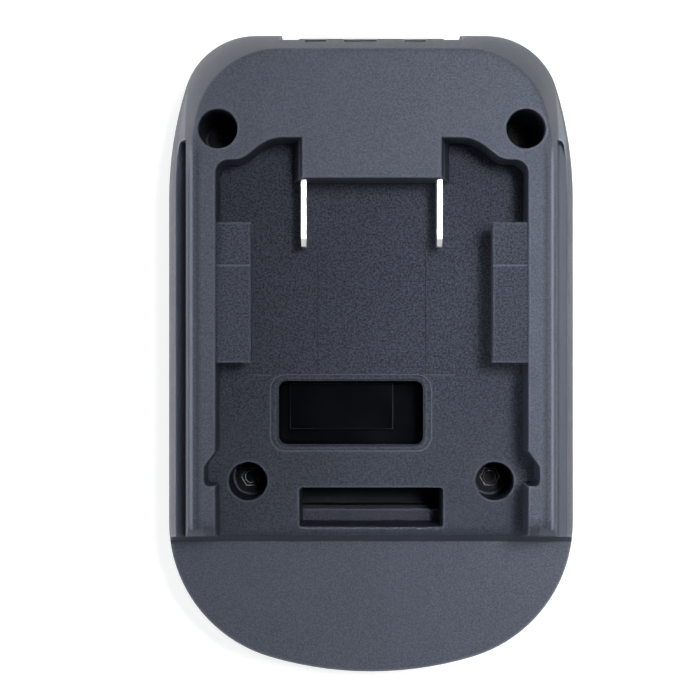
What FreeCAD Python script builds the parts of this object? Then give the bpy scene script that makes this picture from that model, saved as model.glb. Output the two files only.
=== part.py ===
import FreeCAD, Part

import math
import os
import re

import Sketcher

# Slide-on battery adapter. X runs across the body, Y from the chin to the terminal end,
# Z from the rails that a tool slides onto up to the tray that a battery slides into.
# Lengths are in millimetres.

os.makedirs("parts", exist_ok=True)
doc = FreeCAD.newDocument("battery_adapter")
sheet = doc.addObject("Spreadsheet::Sheet", "size")

SIZES = {
    # Outline of the body at its widest level
    "body_half": 37.5,
    "front_y": -59.0,
    "rear_y": 59.0,
    "front_radius": 66.0,
    "chin_corner": 26.0,
    "bend_y": 28.7,
    "side_radius": 70.0,
    "rear_corner": 13.5,
    "skirt_inset": 0.8,
    # Outline at the rim of the flank and at the plateau
    "rim_half": 35.6,
    "rim_rear_y": 57.2,
    "rim_corner": 14.2,
    "top_half": 32.5,
    "top_rear_y": 54.2,
    "top_corner": 15.0,
    "top_edge_round": 1.0,
    "rim_edge_round": 0.35,
    "mouth_edge_round": 0.25,
    "tab_edge_round": 0.3,
    # Levels
    "flange_thick": 2.6,
    "rail_gap": 4.6,
    "plate_thick": 2.4,
    "plate_lean": 0.8,
    "chin_z": 22.4,
    "tray_floor_z": 29.5,
    "rim_z": 34.0,
    "top_z": 44.0,
    "wall": 2.2,
    "flank_wall": 3.5,
    "side_room_z": 25.8,
    "inner_gap": 1.0,
    "running_gap": 0.15,
    "lift": 0.05,
    # Front wall of the raised foot
    "foot_y": -34.8,
    "foot_lean": 1.1,
    "foot_band": 4.1,
    "foot_upper_lean": 1.3,
    "plateau_roll": 3.6,
    "floor_lean": 0.22,
    "floor_roll": 2.7,
    # Long scoop down each flank
    "scoop_in": 33.8,
    "scoop_out": 35.5,
    "scoop_low_z": 32.4,
    "scoop_lip_z": 34.2,
    "scoop_lean": 1.1,
    "scoop_taper_y": 33.7,
    "scoop_end_y": 38.4,
    "scoop_tip": 0.9,
    "scoop_end_round": 0.85,
    # Tray that the battery slides into
    "tray_half": 27.8,
    "tray_rear_y": 38.5,
    "tray_shelf_y": 34.55,
    "shelf_half": 23.2,
    "rear_half": 18.2,
    "tray_corner": 2.4,
    "shelf_corner": 4.0,
    "rear_curve": 7.0,
    # Notch in each tray wall for the battery's side catch
    "catch_start_y": -17.35,
    "catch_full_y": -20.1,
    "catch_end_y": -23.5,
    "catch_depth": 2.05,
    "catch_round": 0.9,
    # Terminal block
    "block_half": 12.4,
    "block_front_y": 31.3,
    "block_flare": 1.8,
    # Rail tabs along the tray
    "tab_in": 21.45,
    "tab_front_y": -1.6,
    "tab_rear_y": 23.5,
    "tab_step_y": 15.9,
    "tab_top_z": 43.5,
    "tab_step": 0.35,
    "tab_thick": 5.5,
    "tab_round": 0.45,
    # Window in the tray floor, with a shallow frame round it
    "window_left": -16.95,
    "window_right": 9.53,
    "window_front_y": -16.6,
    "window_rear_y": -4.98,
    "window_round": 1.5,
    "window_bevel": 0.7,
    "window_bevel_draft": 45.0,
    "frame_side": 1.4,
    "frame_end": 1.1,
    "frame_depth": 0.2,
    # Recess for the battery's latch
    "recess_half": 13.15,
    "recess_front_y": -31.7,
    "recess_rear_y": -24.5,
    "recess_ledge": 2.45,
    "recess_ledge_z": 15.0,
    "recess_draft": 1.2,
    "recess_inset": 0.3,
    "recess_wall": 1.5,
    "recess_round": 0.3,
    # Fine witness lines of the mould insert
    "witness_left_x": -9.8,
    "witness_right_x": 9.95,
    "witness_rear_y": 18.6,
    "witness_y": -3.7,
    "witness_arm": 4.2,
    "witness_width": 0.16,
    "witness_depth": 0.12,
    # Case screws and the tunnels down to them
    "tunnel_radius": 3.5,
    "boss_wall": 1.8,
    "rear_screw_x": 27.4,
    "rear_screw_y": 40.06,
    "front_screw_x": 22.6,
    "front_screw_y": -23.3,
    "front_seat_z": 10.6,
    "rear_seat_z": 17.6,
    "seat_thick": 1.9,
    "screw_radius": 1.4,
    "screw_length": 8.0,
    "screw_head_radius": 2.9,
    "screw_head_high": 1.3,
    "screw_crown_radius": 2.45,
    "screw_crown_high": 0.6,
    "screw_hex_radius": 1.85,
    "screw_hex_deep": 0.8,
    "screw_socket_radius": 1.15,
    "screw_socket_deep": 1.4,
    "screw_hole_gap": 0.2,
    "thread_gap": 0.05,
    "post_radius": 4.4,
    # Rails on the tool side
    "flange_half": 30.5,
    "neck_half": 25.8,
    "rail_front_y": -31.0,
    "rail_rear_y": 55.0,
    "rail_lead": 5.0,
    # Opening at the rear for the terminal holder
    "port_half": 16.5,
    "port_top_z": 27.5,
    "port_corner": 3.4,
    "port_corner_y": 56.7,
    "port_corner_z": 35.6,
    "vent_y": 56.25,
    "vent_wide": 0.35,
    "vent_low_z": 34.6,
    # Terminal holder
    "holder_half": 12.8,
    "holder_front_y": 44.4,
    "holder_rear_y": 57.7,
    "holder_top_z": 24.0,
    "ear_front_y": 53.0,
    "ear_rear_y": 56.0,
    "channel_depth": 0.8,
    "positive_x": -10.15,
    "signal_x": -2.05,
    "negative_x": 7.85,
    "slot_half": 1.95,
    "signal_slot_half": 2.95,
    # Output clips
    "clip_half": 1.4,
    "clip_leaf": 0.6,
    "clip_low_z": 4.0,
    "clip_high_z": 8.5,
    "clip_base": 1.5,
    "clip_rear_y": 55.5,
    "clip_pin_y": 41.0,
    "clip_pin_wide": 1.6,
    # Input blades
    "blade_x": 12.2,
    "blade_thick": 0.95,
    "blade_tip_y": 19.3,
    "blade_low_z": 31.8,
    "blade_high_z": 39.8,
    "blade_bevel": 1.4,
    "blade_leg_front_y": 40.9,
    "blade_leg_rear_y": 43.3,
    "blade_leg_low_z": 25.0,
    "blade_slot_gap": 0.08,
    # Blade retainer and its screws
    "retainer_half": 17.0,
    "retainer_deep": 5.4,
    "retainer_low_z": 27.0,
    "retainer_high_z": 30.6,
    "retainer_screw_x": 6.5,
    "small_screw_radius": 1.1,
    "small_head_radius": 2.2,
    "small_head_high": 1.5,
    "small_screw_length": 7.0,
    "small_boss_radius": 2.7,
    # Circuit board and what stands on it
    "board_half": 18.0,
    "board_front_y": -16.5,
    "board_rear_y": 43.6,
    "board_low_z": 12.0,
    "board_thick": 1.6,
    "board_screw_x": 14.5,
    "board_screw_front_y": -2.0,
    "board_screw_rear_y": 31.0,
    "chip_size": 8.0,
    "chip_high": 1.6,
    "chip_x": -4.0,
    "chip_y": 16.0,
    "capacitor_radius": 3.5,
    "capacitor_high": 9.5,
    "capacitor_x": 9.0,
    "capacitor_y": 10.0,
    "resistor_long": 2.0,
    "resistor_wide": 1.2,
    "resistor_high": 0.6,
    "resistor_pitch": 3.2,
    "resistor_x": -12.0,
    "resistor_y": 5.0,
    "resistor_count": 6,
    "transistor_wide": 6.2,
    "transistor_deep": 5.8,
    "transistor_high": 4.2,
    "transistor_pitch": 9.4,
    # Black cover over the power transistors, seen through the window
    "cover_left": -15.1,
    "cover_right": 4.1,
    "cover_front_y": -14.0,
    "cover_rear_y": -5.5,
    "cover_top_z": 20.0,
    "cover_wall": 1.0,
    "sheet_low_z": 17.0,
    "sheet_side": 1.4,
    "sheet_end": 1.0,
    # Wires from the blades down to the board
    "wire_diameter": 1.5,
    "wire_shift": 3.4,
    "wire_end_run": 3.6,
    # Latch and its button
    "latch_travel": 4.5,
    "hook_half": 9.0,
    "hook_front_y": -40.5,
    "hook_rear_y": -36.5,
    "hook_low_z": 3.0,
    "hook_flat": 1.7,
    "hook_ramp": 3.0,
    "carriage_half": 13.0,
    "carriage_front_y": -45.5,
    "carriage_thick": 4.2,
    "arm_half": 5.0,
    "arm_thick": 2.4,
    "shield_half": 7.6,
    "shield_thick": 1.0,
    "button_half": 10.0,
    "button_rear_y": -54.5,
    "button_front_y": -57.6,
    "button_high": 4.8,
    "button_round": 0.9,
    "button_rib": 0.5,
    "button_rib_count": 3,
    "button_rib_pitch": 1.3,
    "tongue_half": 4.0,
    "tongue_deep": 1.4,
    "tongue_thick": 1.6,
    "button_port_half": 11.6,
    "port_wall": 1.6,
    "port_wall_gap": 0.5,
    "finger_rear_y": -52.0,
    "guide_thick": 2.0,
    "guide_gap": 0.3,
    # Springs that push the latch out
    "spring_x": 8.0,
    "spring_y": -41.8,
    "spring_radius": 2.3,
    "spring_bore": 1.7,
    "spring_seat": 1.75,
    "pin_radius": 1.3,
    # Far enough to cut right through
    "past": 4.0,
}

for row, (alias, number) in enumerate(SIZES.items(), 1):
    sheet.set(f"A{row}", alias)
    sheet.set(f"B{row}", str(number))
    sheet.setAlias(f"B{row}", alias)

# Levels that follow from the sizes above
LEVELS = {
    "seat_z": "flange_thick + rail_gap",
    "split_z": "flange_thick + rail_gap + plate_thick",
    "board_top_z": "board_low_z + board_thick",
    "latch_z": "flange_thick + rail_gap + plate_thick + running_gap",
    "chin_under_z": "chin_z - wall",
    "foot_crease_y": "foot_y + foot_lean",
    "foot_crease_z": "chin_z + foot_band",
    "foot_top_y": "foot_y + foot_lean + foot_upper_lean",
    "button_low_z": "flange_thick + rail_gap + plate_thick + 2 * running_gap",
    "port_wall_y": "button_rear_y + port_wall_gap",
    "guide_x": "carriage_half + guide_gap",
}
NAMES = set(SIZES) | set(LEVELS)


def bound(text):
    """An expression on the sheet, written with the bare names of its cells."""
    return re.sub(r"[a-z]\w*", lambda word: ("size." if word.group() in NAMES else "") + word.group(), text)


def value(text):
    return float(sheet.evalExpression(bound(text)))


# Two places nearer than this count as the same when edges are picked
SAME = 0.01


doc.recompute()
for row, (alias, formula) in enumerate(LEVELS.items(), len(SIZES) + 1):
    sheet.set(f"A{row}", alias)
    sheet.set(f"B{row}", "=" + formula)
    sheet.setAlias(f"B{row}", alias)
doc.recompute()

Vector = FreeCAD.Vector
UP = Vector(0, 0, 1)
PLANES = {
    # Plane of the sketch: its rotation, and the axis that it is pushed along
    "XY": (FreeCAD.Rotation(), "z", 1),
    "XZ": (FreeCAD.Rotation(Vector(1, 0, 0), 90), "y", -1),
    "YZ": (FreeCAD.Rotation(Vector(1, 1, 1), 120), "x", 1),
}


def dimension(sketch, label, kind, *places, text):
    """A driving dimension of a sketch, tied to the sheet."""
    index = sketch.addConstraint(Sketcher.Constraint(kind, *places, value(text)))
    sketch.renameConstraint(index, label)
    sketch.setExpression("Constraints." + label, bound(text))


def block(name, x, y, z):
    """A box between two places on each axis."""
    piece = doc.addObject("Part::Box", name)
    for side, (low, high) in zip(("Length", "Width", "Height"), (x, y, z)):
        piece.setExpression(side, bound(f"({high}) - ({low})"))
    for axis, (low, high) in zip("xyz", (x, y, z)):
        piece.setExpression(f"Placement.Base.{axis}", bound(low))
    return piece


def rod(name, x, y, z, radius):
    """An upright cylinder."""
    piece = doc.addObject("Part::Cylinder", name)
    piece.setExpression("Radius", bound(radius))
    piece.setExpression("Height", bound(f"({z[1]}) - ({z[0]})"))
    for axis, place in zip("xyz", (x, y, z[0])):
        piece.setExpression(f"Placement.Base.{axis}", bound(place))
    return piece


def corner_arc(before, corner, after, radius):
    """The arc that rounds a corner: its curve, its first and last point, and whether it turns left."""
    into = (corner - before).normalize()
    out = (after - corner).normalize()
    turn = into.getAngle(out)
    left = into.cross(out).z > 0
    reach = radius * math.tan(turn / 2)
    first = corner - into * reach
    last = corner + out * reach
    sideways = Vector(-into.y, into.x, 0) * (1 if left else -1)
    centre = first + sideways * radius
    angle_first = math.atan2(first.y - centre.y, first.x - centre.x)
    angle_last = math.atan2(last.y - centre.y, last.x - centre.x)
    circle = Part.Circle(centre, UP, radius)
    if left:
        return Part.ArcOfCircle(circle, angle_first, angle_last), first, last, left
    return Part.ArcOfCircle(circle, angle_last, angle_first), first, last, left


def drawn(name, plane, corners):
    """A closed sketch through the corners. A corner with a third value is rounded by that radius."""
    sketch = doc.addObject("Sketcher::SketchObject", name)
    sketch.Placement = FreeCAD.Placement(Vector(), PLANES[plane][0])
    places = [Vector(value(corner[0]), value(corner[1]), 0) for corner in corners]
    count = len(places)
    arcs = {}
    for i, corner in enumerate(corners):
        if len(corner) == 3:
            arcs[i] = corner_arc(places[i - 1], places[i], places[(i + 1) % count], value(corner[2]))
    for i in range(count):
        following = (i + 1) % count
        first = arcs[i][2] if i in arcs else places[i]
        last = arcs[following][1] if following in arcs else places[following]
        sketch.addGeometry(Part.LineSegment(first, last), False)
    for i, corner in enumerate(corners):
        before = (i - 1) % count
        if i not in arcs:
            sketch.addConstraint(Sketcher.Constraint("Coincident", before, 2, i, 1))
            point = (i, 1)
        else:
            curve, first, last, left = arcs[i]
            arc = sketch.addGeometry(curve, False)
            start, end = (1, 2) if left else (2, 1)
            sketch.addConstraint(Sketcher.Constraint("Tangent", before, 2, arc, start))
            sketch.addConstraint(Sketcher.Constraint("Tangent", arc, end, i, 1))
            dimension(sketch, f"round{i}", "Radius", arc, text=corner[2])
            mark = sketch.addGeometry(Part.Point(places[i]), True)
            sketch.addConstraint(Sketcher.Constraint("PointOnObject", mark, 1, before))
            sketch.addConstraint(Sketcher.Constraint("PointOnObject", mark, 1, i))
            point = (mark, 1)
        dimension(sketch, f"across{i}", "DistanceX", -1, 1, *point, text=corner[0])
        dimension(sketch, f"along{i}", "DistanceY", -1, 1, *point, text=corner[1])
    return sketch


def pushed(name, sketch, plane, span, draft=None):
    """A solid made by pushing a sketch square to its plane over the span."""
    low, high = span
    rotation, axis, way = PLANES[plane]
    sketch.setExpression(f"Placement.Base.{axis}", bound(low if way > 0 else high))
    piece = doc.addObject("Part::Extrusion", name)
    piece.Base = sketch
    piece.DirMode = "Normal"
    piece.Solid = True
    piece.setExpression("LengthFwd", bound(f"({high}) - ({low})"))
    if draft:
        piece.setExpression("TaperAngle", bound(draft))
    return piece


def prism(name, plane, corners, span, draft=None):
    return pushed(name, drawn(name + "_sketch", plane, corners), plane, span, draft)


def rounded_block(name, x, y, z, radius, draft=None):
    """A block whose upright edges are rounded."""
    corners = [(x[0], y[0], radius), (x[1], y[0], radius), (x[1], y[1], radius), (x[0], y[1], radius)]
    return prism(name, "XY", corners, z, draft)


def joined(name, pieces):
    if len(pieces) == 1:
        return pieces[0]
    piece = doc.addObject("Part::MultiFuse", name)
    piece.Shapes = pieces
    piece.Refine = True
    return piece


def cut(name, base, tools):
    piece = doc.addObject("Part::Cut", name)
    piece.Base = base
    piece.Tool = joined(name + "_tools", tools)
    piece.Refine = True
    return piece


def grouped(name, pieces):
    """Several loose solids of one kind, kept as one sub-part."""
    piece = doc.addObject("Part::Compound", name)
    piece.Links = pieces
    return piece


def mirrored_x(side, place):
    return f"{side} * ({place})"


def across(side, low, high):
    """The span between two distances from the middle, on one side of it."""
    ends = (mirrored_x(side, low), mirrored_x(side, high))
    return ends if side > 0 else ends[::-1]


SIDES = {"right": 1, "left": -1}
parts = {}


def outline(name, level, half, rear, corner, inset):
    """The body's outline at one level: a bowed chin, straight flanks and a narrower rounded rear."""
    sketch = doc.addObject("Sketcher::SketchObject", name)
    sketch.setExpression("Placement.Base.z", bound(level))
    bow = f"front_radius - ({inset})"
    chin = f"chin_corner - ({inset})"
    bow_centre = f"front_y + ({inset}) + {bow}"
    edge, back, small, bend = value(half), value(rear), value(corner), value("bend_y")
    large, bow_radius, chin_radius, bow_y = value("side_radius"), value(bow), value(chin), value(bow_centre)
    small_y = back - small
    flank_x = edge - large
    small_x = flank_x + math.sqrt((large - small) ** 2 - (small_y - bend) ** 2)
    chin_x = edge - chin_radius
    chin_y = bow_y - math.sqrt((bow_radius - chin_radius) ** 2 - chin_x ** 2)
    flank_turn = math.atan2(small_y - bend, small_x - flank_x)
    chin_turn = math.atan2(chin_y - bow_y, chin_x)
    half_turn = math.pi

    def arc(x, y, radius, first, last):
        return Part.ArcOfCircle(Part.Circle(Vector(x, y, 0), UP, radius), first, last)

    def line(x_first, y_first, x_last, y_last):
        return Part.LineSegment(Vector(x_first, y_first, 0), Vector(x_last, y_last, 0))

    curves = [
        arc(0, bow_y, bow_radius, -half_turn - chin_turn, chin_turn),
        arc(chin_x, chin_y, chin_radius, chin_turn, 0),
        line(edge, chin_y, edge, bend),
        arc(flank_x, bend, large, 0, flank_turn),
        arc(small_x, small_y, small, flank_turn, half_turn / 2),
        line(small_x, back, -small_x, back),
        arc(-small_x, small_y, small, half_turn / 2, half_turn - flank_turn),
        arc(-flank_x, bend, large, half_turn - flank_turn, half_turn),
        line(-edge, bend, -edge, chin_y),
        arc(-chin_x, chin_y, chin_radius, half_turn, half_turn - chin_turn),
    ]
    for curve in curves:
        sketch.addGeometry(curve, False)
    for i in range(len(curves)):
        sketch.addConstraint(Sketcher.Constraint("Tangent", i, 2, (i + 1) % len(curves), 1))
    sketch.addConstraint(Sketcher.Constraint("Vertical", 2))
    sketch.addConstraint(Sketcher.Constraint("Vertical", 8))
    sketch.addConstraint(Sketcher.Constraint("Horizontal", 5))
    sketch.addConstraint(Sketcher.Constraint("PointOnObject", 0, 3, -2))
    dimension(sketch, "right", "DistanceX", -1, 1, 2, 1, text=half)
    dimension(sketch, "left", "DistanceX", -1, 1, 8, 1, text=f"-({half})")
    dimension(sketch, "rear", "DistanceY", -1, 1, 5, 1, text=rear)
    dimension(sketch, "bend_right", "DistanceY", -1, 1, 2, 2, text="bend_y")
    dimension(sketch, "bend_left", "DistanceY", -1, 1, 8, 1, text="bend_y")
    dimension(sketch, "bow_centre", "DistanceY", -1, 1, 0, 3, text=bow_centre)
    dimension(sketch, "bow", "Radius", 0, text=bow)
    for side, chin_arc, flank_arc, small_arc in (("right", 1, 3, 4), ("left", 9, 7, 6)):
        dimension(sketch, "chin_" + side, "Radius", chin_arc, text=chin)
        dimension(sketch, "flank_" + side, "Radius", flank_arc, text="side_radius")
        dimension(sketch, "corner_" + side, "Radius", small_arc, text=corner)
    return sketch


def inset_outline(name, level, inset):
    return outline(name, level, f"body_half - ({inset})", f"rear_y - ({inset})", f"rear_corner - ({inset})",
                   inset)


def lofted(name, sections, ruled):
    piece = doc.addObject("Part::Loft", name)
    piece.Sections = sections
    piece.Solid = True
    piece.Ruled = ruled
    return piece


def rounded_edges(name, base, radius, wanted):
    """Rounds the edges of the base that the test wants."""
    doc.recompute()
    piece = doc.addObject("Part::Fillet", name)
    piece.Base = base
    size = value(radius)
    piece.Edges = [(i, size, size) for i, edge in enumerate(base.Shape.Edges, 1) if wanted(edge)]
    return piece


# Battery-side shell: outer form
widest = inset_outline("widest_outline", "chin_z", "0")
rim = outline("rim_outline", "rim_z", "rim_half", "rim_rear_y", "rim_corner", "body_half - rim_half")
top = outline("top_outline", "top_z", "top_half", "top_rear_y", "top_corner", "body_half - top_half")
skirt = lofted("skirt", [inset_outline("split_outline", "split_z", "skirt_inset"), widest], True)
flank = lofted("flank", [widest, rim, top], False)
top_level = value("top_z")
raised = rounded_edges("raised", flank, "top_edge_round",
                       lambda edge: min(corner.Z for corner in edge.Vertexes) > top_level - SAME)
form = joined("shell_form", [skirt, raised])

# Chin step: all that stands in front of the raised foot's leaning wall
past_front = "front_y - past"
past_top = "top_z + past"
chin_step = prism("chin_step", "YZ", [
    (past_front, "chin_z"), ("foot_y", "chin_z"), ("foot_crease_y", "foot_crease_z"),
    ("foot_top_y", "top_z", "plateau_roll"), ("foot_top_y + 2 * plateau_roll", "top_z"),
    ("foot_top_y + 2 * plateau_roll", past_top), (past_front, past_top),
], ("-body_half - past", "body_half + past"))

# Tray with its shelf corners, and the rolled front edge of its floor
tray = prism("tray", "XY", [
    ("-tray_half", past_front), ("tray_half", past_front), ("tray_half", "tray_shelf_y", "tray_corner"),
    ("shelf_half", "tray_shelf_y", "shelf_corner"), ("rear_half", "tray_rear_y", "rear_curve"),
    ("-rear_half", "tray_rear_y", "rear_curve"), ("-shelf_half", "tray_shelf_y", "shelf_corner"),
    ("-tray_half", "tray_shelf_y", "tray_corner"),
], ("tray_floor_z", past_top))
floor_edge_y = "foot_crease_y + floor_lean"
floor_step = prism("floor_step", "YZ", [
    (past_front, "foot_crease_z"), ("foot_crease_y", "foot_crease_z"),
    (floor_edge_y, "tray_floor_z", "floor_roll"), (f"{floor_edge_y} + 2 * floor_roll", "tray_floor_z"),
    (f"{floor_edge_y} + 2 * floor_roll", "top_z"), (past_front, "top_z"),
], ("-tray_half", "tray_half"))


def catch_notch(side):
    sign = SIDES[side]
    return prism(f"catch_notch_{side}", "XY", [
        (mirrored_x(sign, "tray_half - wall"), "catch_start_y"),
        (mirrored_x(sign, "tray_half"), "catch_start_y"),
        (mirrored_x(sign, "tray_half + catch_depth"), "catch_full_y", "catch_round"),
        (mirrored_x(sign, "tray_half + catch_depth"), "catch_end_y", "catch_round"),
        (mirrored_x(sign, "tray_half - wall"), "catch_end_y"),
    ], ("tray_floor_z", past_top))


def scoop(side):
    """The cove down a flank: its floor falls inwards, and its rear end tapers to a rounded tip."""
    sign = SIDES[side]
    behind = "scoop_in - 2 * scoop_lean"
    cove = doc.addObject("Part::Common", f"scoop_{side}")
    cove.Base = prism(f"scoop_profile_{side}", "XZ", [
        (mirrored_x(sign, "scoop_in"), "scoop_low_z"), (mirrored_x(sign, "scoop_out"), "scoop_lip_z"),
        (mirrored_x(sign, "scoop_out"), past_top), (mirrored_x(sign, "scoop_in - scoop_lean"), past_top),
    ], (past_front, "scoop_end_y + wall"))
    cove.Tool = prism(f"scoop_outline_{side}", "XY", [
        (mirrored_x(sign, behind), past_front), (mirrored_x(sign, "scoop_out + lift"), past_front),
        (mirrored_x(sign, "scoop_out + lift"), "scoop_taper_y"),
        (mirrored_x(sign, "scoop_in + scoop_tip"), "scoop_end_y", "scoop_end_round"),
        (mirrored_x(sign, behind), "scoop_end_y"),
    ], ("scoop_low_z - lift", past_top))
    return cove


carving = [chin_step, tray, floor_step]
for side in SIDES:
    carving += [catch_notch(side), scoop(side)]
carved = cut("carved", form, carving)

# Terminal block and rail tabs stand in the tray
terminal_block = lofted("terminal_block", [
    drawn("block_foot", "XY", [
        ("-block_half - block_flare", "block_front_y"), ("block_half + block_flare", "block_front_y"),
        ("block_half + block_flare", "tray_rear_y + wall"),
        ("-block_half - block_flare", "tray_rear_y + wall"),
    ]),
    drawn("block_face", "XY", [
        ("-block_half", "block_front_y"), ("block_half", "block_front_y"),
        ("block_half", "tray_rear_y + wall"), ("-block_half", "tray_rear_y + wall"),
    ]),
], True)
terminal_block.Sections[0].setExpression("Placement.Base.z", bound("tray_floor_z - lift"))
terminal_block.Sections[1].setExpression("Placement.Base.z", bound("top_z"))


def rail_tab(side, name, y, top_at):
    sign = SIDES[side]
    low = "tab_top_z - tab_thick"
    return prism(f"tab_{name}_{side}", "XZ", [
        (mirrored_x(sign, "tab_in"), low, "tab_round"), (mirrored_x(sign, "tray_half + wall / 2"), low),
        (mirrored_x(sign, "tray_half + wall / 2"), top_at), (mirrored_x(sign, "tab_in"), top_at, "tab_round"),
    ], y)


standing = [terminal_block]
for side in SIDES:
    standing.append(rail_tab(side, "front", ("tab_front_y", "tab_step_y"), "tab_top_z"))
    standing.append(rail_tab(side, "rear", ("tab_step_y - lift", "tab_rear_y"), "tab_top_z - tab_step"))
outside = joined("shell_outside", [carved] + standing)

# Hollows under the chin, the tray and the plateau
hollow_low = pushed("hollow_low", inset_outline("hollow_outline", "split_z", "skirt_inset + wall"), "XY",
                    ("split_z - lift", "chin_under_z"))
behind_foot = "foot_crease_y + wall"
hollow_mid = doc.addObject("Part::Common", "hollow_mid")
hollow_mid_outline = inset_outline("hollow_mid_outline", "chin_z", "skirt_inset + flank_wall")
hollow_mid.Base = pushed("hollow_mid_form", hollow_mid_outline, "XY",
                         ("chin_under_z - lift", "side_room_z"))
hollow_mid.Tool = block("hollow_mid_span", ("-body_half", "body_half"), (behind_foot, "rear_y"),
                        ("split_z", "side_room_z + wall"))
hollow_tray = block("hollow_tray", ("-tray_half", "tray_half"), (behind_foot, "tray_rear_y"),
                    ("side_room_z - lift", "tray_floor_z - wall"))
rear_room_front = "tray_rear_y + wall"
retainer_middle_y = f"{rear_room_front} + retainer_deep / 2"
rear_room_half = "rear_screw_x - tunnel_radius - boss_wall - inner_gap"
hollow_rear = block("hollow_rear", (f"-({rear_room_half})", rear_room_half),
                    (rear_room_front, "top_rear_y - flank_wall"),
                    ("side_room_z - lift", "top_z - wall"))
hollow_block = block("hollow_block", ("-block_half + wall", "block_half - wall"),
                     ("block_front_y + wall", "tray_rear_y + wall + lift"),
                     ("side_room_z - lift", "top_z - wall"))
hollowed = cut("shell_hollowed", outside, [hollow_low, hollow_mid, hollow_tray, hollow_rear, hollow_block])

# Bosses, the latch recess's well, guides and pins inside the shell
SCREWS = {
    "front_right": ("front_screw_x", "front_screw_y", "front_seat_z", "tray_floor_z"),
    "front_left": ("-front_screw_x", "front_screw_y", "front_seat_z", "tray_floor_z"),
    "rear_right": ("rear_screw_x", "rear_screw_y", "rear_seat_z", "top_z"),
    "rear_left": ("-rear_screw_x", "rear_screw_y", "rear_seat_z", "top_z"),
}
inner_walls = [
    block("recess_well", ("-recess_half - recess_wall", "recess_half + recess_wall"),
          ("recess_front_y - recess_wall", "recess_rear_y + recess_wall"),
          ("recess_ledge_z - recess_wall", "tray_floor_z - wall / 2")),
]
for name, (x, y, seat, mouth) in SCREWS.items():
    boss_top = f"{mouth} - wall + lift" if name.startswith("front") else "side_room_z + wall"
    inner_walls.append(rod(f"boss_{name}", x, y, (f"{seat} - seat_thick", boss_top),
                           "tunnel_radius + boss_wall"))
for side, sign in SIDES.items():
    inner_walls.append(block(f"latch_guide_{side}", across(sign, "guide_x", "guide_x + guide_thick"),
                             ("carriage_front_y", "hook_rear_y"),
                             ("split_z + inner_gap", "chin_under_z + lift")))
    inner_walls.append(rod(f"spring_pin_{side}", mirrored_x(sign, "spring_x"), "spring_y",
                           ("latch_z + spring_seat + latch_travel + guide_gap", "chin_under_z + lift"),
                           "pin_radius"))
    inner_walls.append(rod(f"retainer_boss_{side}", mirrored_x(sign, "retainer_screw_x"), retainer_middle_y,
                           ("retainer_high_z", "top_z - wall + lift"), "small_boss_radius"))
# Pocket that the button stands in, closed behind by a wall with a slot for the latch's arm
inner_walls.append(cut("button_pocket", block(
    "button_pocket_form", ("-button_port_half - port_wall", "button_port_half + port_wall"),
    ("front_y + skirt_inset + wall", "port_wall_y + port_wall"), ("split_z", "chin_under_z + lift")), [
        block("button_pocket_room", ("-button_port_half", "button_port_half"), (past_front, "port_wall_y"),
              ("split_z - lift", "chin_under_z + past")),
        block("arm_slot", ("-arm_half - guide_gap", "arm_half + guide_gap"),
              ("port_wall_y - lift", "port_wall_y + past"),
              ("split_z - lift", "button_low_z + arm_thick + latch_travel + guide_gap")),
    ]))
walled = joined("shell_walled", [hollowed] + inner_walls)

# The three output terminals and how wide the slot over each is
CLIPS = {"positive": "slot_half", "signal": "signal_slot_half", "negative": "slot_half"}

# Everything that opens into the shell
openings = [
    rounded_block("window", ("window_left", "window_right"), ("window_front_y", "window_rear_y"),
                  ("tray_floor_z - past", past_top), "window_round"),
    rounded_block("window_frame", ("window_left - frame_side", "window_right + frame_side"),
                  ("window_front_y - frame_end", "window_rear_y + frame_end"),
                  ("tray_floor_z - frame_depth", past_top), "window_round + frame_end"),
    rounded_block("window_bevel_cut", ("window_left", "window_right"), ("window_front_y", "window_rear_y"),
                  ("tray_floor_z - window_bevel", "tray_floor_z + lift"), "window_round",
                  "window_bevel_draft"),
    rounded_block("latch_recess", ("-recess_half + recess_inset", "recess_half - recess_inset"),
                  ("recess_front_y + recess_inset", "recess_rear_y - recess_inset"),
                  ("recess_ledge_z", past_top), "recess_round", "recess_draft"),
    block("latch_recess_floor", ("-recess_half + recess_inset", "recess_half - recess_inset"),
          ("recess_front_y + recess_ledge", "recess_rear_y - recess_inset"),
          ("recess_ledge_z - past", "recess_ledge_z + lift")),
    block("terminal_port", ("-port_half", "port_half"), ("top_rear_y - wall", "rear_y + past"),
          ("split_z - lift", "port_top_z")),
    block("port_set_back", ("-port_half", "port_half"), ("rim_rear_y", "rear_y + past"),
          ("port_top_z - lift", "rim_z")),
    block("button_port", ("-button_port_half", "button_port_half"), (past_front, "button_rear_y"),
          ("split_z - lift", "button_low_z + button_high + latch_travel + guide_gap")),
]
for name, (x, y, seat, mouth) in SCREWS.items():
    openings.append(rod(f"tunnel_{name}", x, y, (seat, past_top), "tunnel_radius"))
    openings.append(rod(f"screw_hole_{name}", x, y, (f"{seat} - past", f"{seat} + lift"),
                        "screw_radius + screw_hole_gap"))
witness_depth = ("tray_floor_z - witness_depth", "tray_floor_z + witness_depth")
for side, x in (("left", "witness_left_x"), ("right", "witness_right_x")):
    sign = SIDES[side]
    openings.append(block(f"witness_{side}", (f"{x} - witness_width / 2", f"{x} + witness_width / 2"),
                          ("witness_y", "witness_rear_y"), witness_depth))
witness_across = ("witness_y - witness_width / 2", "witness_y + witness_width / 2")
openings.append(block("witness_arm_left",
                      ("window_left - frame_side - witness_arm", "window_left - frame_side"),
                      witness_across, witness_depth))
openings.append(block("witness_arm_right", ("witness_right_x", "window_right + frame_side + witness_arm"),
                      witness_across, witness_depth))
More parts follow.
